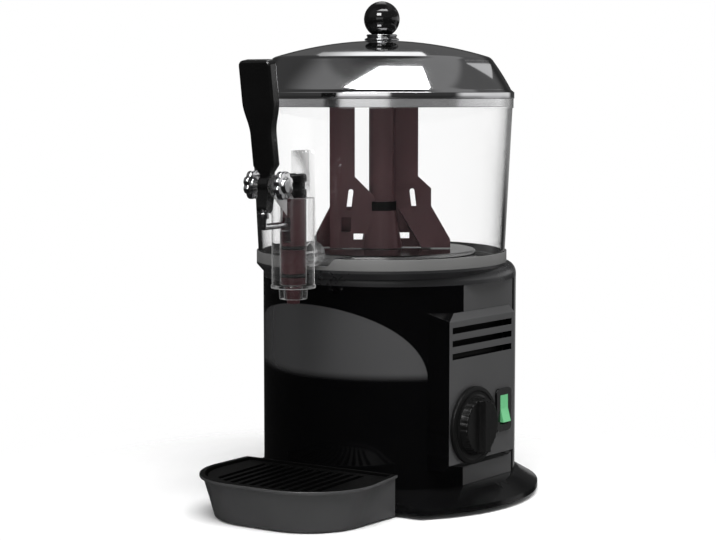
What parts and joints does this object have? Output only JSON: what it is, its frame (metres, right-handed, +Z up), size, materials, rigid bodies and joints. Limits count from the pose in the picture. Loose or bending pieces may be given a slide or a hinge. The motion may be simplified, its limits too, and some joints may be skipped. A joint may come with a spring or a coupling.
{
  "type": "hot chocolate dispenser",
  "caption": "Bench-top hot chocolate dispenser: clear stirred bowl on a heated black body, chrome lid, lever tap, drip tray and side controls.",
  "frame": {"origin": "middle of the overall footprint, on the table under the rubber feet", "axes": "+Z up, -Y towards the tap and drip tray, +X towards the side with the controls"},
  "size_m": [0.26, 0.32, 0.4018],
  "materials": {
    "shell_black": "gloss",
    "base_black": "gloss",
    "panel_black": "satin",
    "deck_grey": "satin",
    "tray_black": "satin",
    "grid_black": "matte",
    "dial_black": "satin",
    "lever_black": "gloss",
    "switch_black": "gloss",
    "rocker_green": "lit",
    "rubber_black": "matte",
    "gasket_grey": "matte",
    "stainless": "brushed",
    "lid_chrome": "polished",
    "trim_chrome": "polished",
    "clear": "clear",
    "stirrer_brown": "satin",
    "piston_brown": "satin",
    "gear_metal": "cast",
    "motor_paint": "satin",
    "bush_brass": "turned",
    "element_steel": "heat-tinted",
    "insulator": "matte"
  },
  "bodies": {
    "base": {"base_foot": "base_black", "rubber_feet": "rubber_black", "front_shell": "shell_black", "rear_cover": "shell_black", "control_panel": "panel_black", "top_deck": "deck_grey", "hot_plate": "stainless", "bowl_gasket": "gasket_grey", "water_tank": "stainless", "standpipe": "stainless", "heating_element": "element_steel", "overheat_cutout": "insulator", "gearbox": "gear_metal", "gearbox_standoffs": "stainless", "motor": "motor_paint", "shaft_bushes": "bush_brass", "thermostat": "insulator", "thermostat_bulb": "bush_brass", "switch_housing": "switch_black", "terminal_block": "insulator", "cord_gland": "rubber_black", "cover_screws": "stainless"},
    "stirrer": {"drive_shaft": "stainless", "stirrer_column": "stirrer_brown", "stirrer_paddles": "stirrer_brown"},
    "bowl": {"bowl": "clear", "tap_nozzle": "clear", "pivot_pin": "stainless", "pivot_knob_left": "trim_chrome", "pivot_knob_right": "trim_chrome"},
    "handle": {"tap_handle": "lever_black", "lever_finger": "trim_chrome"},
    "piston": {"piston": "piston_brown", "piston_rings": "rubber_black", "piston_head": "lever_black"},
    "lid": {"lid_shell": "lid_chrome", "lid_knob": "dial_black", "knob_collar": "trim_chrome", "knob_screw": "stainless"},
    "tray": {"drip_tray": "tray_black"},
    "grid": {"drip_grid": "grid_black"},
    "dial": {"thermostat_knob": "dial_black", "thermostat_shaft": "stainless"},
    "rocker": {"rocker": "rocker_green"}
  },
  "joints": [
    {"name": "stirrer_spin", "type": "hinge", "parent": "base", "child": "stirrer", "pos_m": [0, 0.03, 0.2], "axis": [0, 0, 1], "continuous": true},
    {"name": "bowl_lift", "type": "slide", "parent": "base", "child": "bowl", "axis": [0, 0, 1], "range_m": [0, 0.15]},
    {"name": "lid_lift", "type": "slide", "parent": "bowl", "child": "lid", "axis": [0, 0, 1], "range_m": [0, 0.08]},
    {"name": "handle_pull", "type": "hinge", "parent": "bowl", "child": "handle", "pos_m": [0, -0.1346, 0.2585], "axis": [1, 0, 0], "range_deg": [0, 30]},
    {"name": "piston_lift", "type": "slide", "parent": "bowl", "child": "piston", "axis": [0, 0, 1], "range_m": [0, 0.018]},
    {"name": "tray_pull", "type": "slide", "parent": "base", "child": "tray", "axis": [0, -1, 0], "range_m": [0, 0.12]},
    {"name": "grid_lift", "type": "slide", "parent": "tray", "child": "grid", "axis": [0, 0, 1], "range_m": [0, 0.05]},
    {"name": "dial_turn", "type": "hinge", "parent": "base", "child": "dial", "pos_m": [0.10118, 0.00119, 0.066], "axis": [0.9945, -0.1045, 0], "range_deg": [0, 270]},
    {"name": "rocker_press", "type": "hinge", "parent": "base", "child": "rocker", "pos_m": [0.1017, 0.04438, 0.0727], "axis": [0.1045, 0.9945, 0], "range_deg": [0, 16]}
  ],
  "couplings": [
    {"joint": "piston_lift", "follows": "handle_pull", "m_per_rad": 0.0336}
  ]
}
